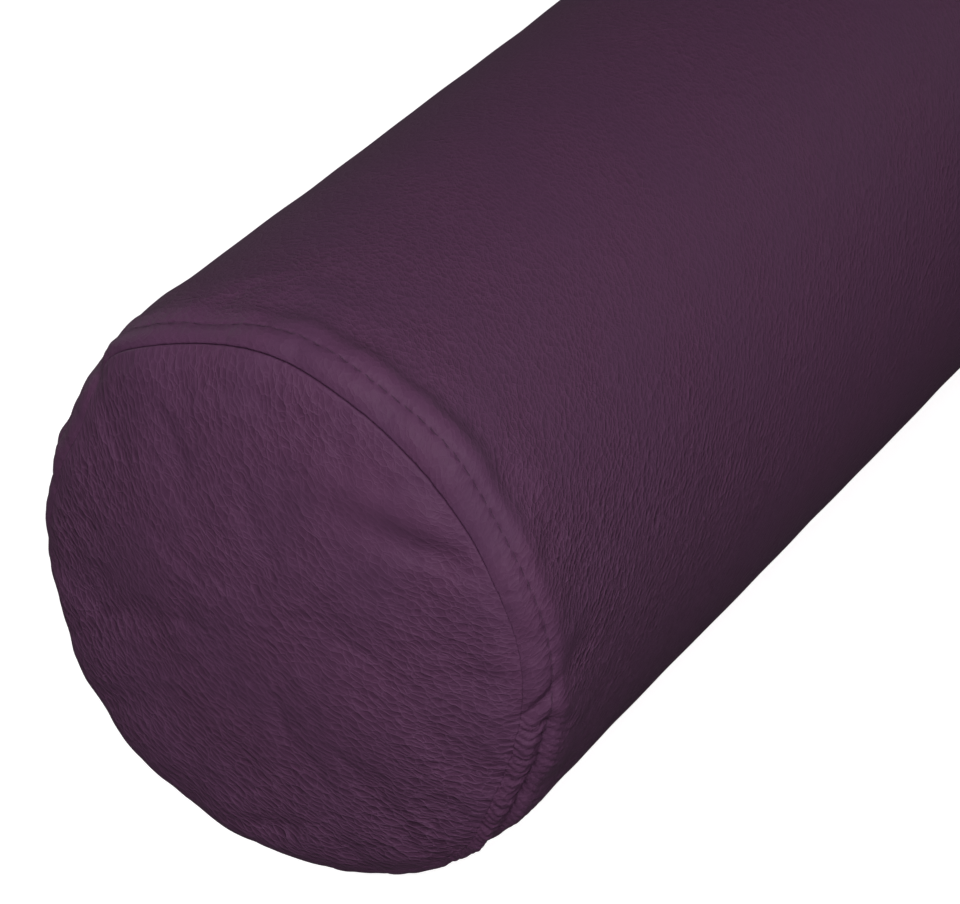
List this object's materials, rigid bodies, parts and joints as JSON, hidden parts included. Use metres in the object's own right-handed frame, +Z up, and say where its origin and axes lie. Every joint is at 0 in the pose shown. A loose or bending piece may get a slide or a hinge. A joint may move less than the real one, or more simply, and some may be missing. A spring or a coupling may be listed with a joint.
{
  "type": "bolster pillow",
  "caption": "Full-round massage bolster: zipped artificial-leather cover over a fibre-wrapped foam core, with round topstitched end discs.",
  "frame": {"origin": "centre of the resting strip on the ground, halfway along the bolster", "axes": "+X along the bolster towards the end where the zip opens fully, +Y to the back with the zip, +Z up"},
  "size_m": [0.66, 0.1524, 0.1515],
  "materials": {
    "cover_leather": "aubergine pebble-grained artificial leather, semi-matt",
    "thread": "bonded polyester thread, tone on tone",
    "zip_tape": "woven polyester tape, dark aubergine",
    "zip_coil": "nylon coil and moulded stops, dark aubergine",
    "slider_metal": "dark gunmetal die-cast zinc, satin",
    "foam": "open-cell polyurethane foam, pale cream",
    "fibre": "white polyester fibre wadding"
  },
  "bodies": {
    "bolster": {"cover_tube": "cover_leather", "end_disc_left": "cover_leather", "end_disc_right": "cover_leather", "end_seam_thread_left": "thread", "end_seam_thread_right": "thread", "end_topstitch_left": "thread", "end_topstitch_right": "thread", "zip_topstitch_upper": "thread", "zip_topstitch_lower": "thread", "zip_bartack_left": "thread", "zip_bartack_right": "thread", "back_seam_thread_left": "thread", "back_seam_thread_right": "thread", "foam_core": "foam", "fibre_wrap": "fibre", "fibre_pad_left": "fibre", "fibre_pad_right": "fibre", "zip_tape_upper": "zip_tape", "zip_tape_lower": "zip_tape", "zip_coil_upper": "zip_coil", "zip_coil_lower": "zip_coil", "zip_top_stop_upper": "zip_coil", "zip_top_stop_lower": "zip_coil", "zip_bottom_stop": "zip_coil"},
    "slider": {"slider_body": "slider_metal", "slider_bail": "slider_metal"},
    "pull": {"pull_tab": "slider_metal"}
  },
  "joints": [
    {"name": "zip_slide", "type": "slide", "parent": "bolster", "child": "slider", "axis": [1, 0, 0], "range_m": [0, 0.525]},
    {"name": "pull_swing", "type": "hinge", "parent": "slider", "child": "pull", "pos_m": [-0.2629, 0.07358, 0.04848], "axis": [0, 0.342, 0.9397], "range_deg": [0, 180]}
  ]
}
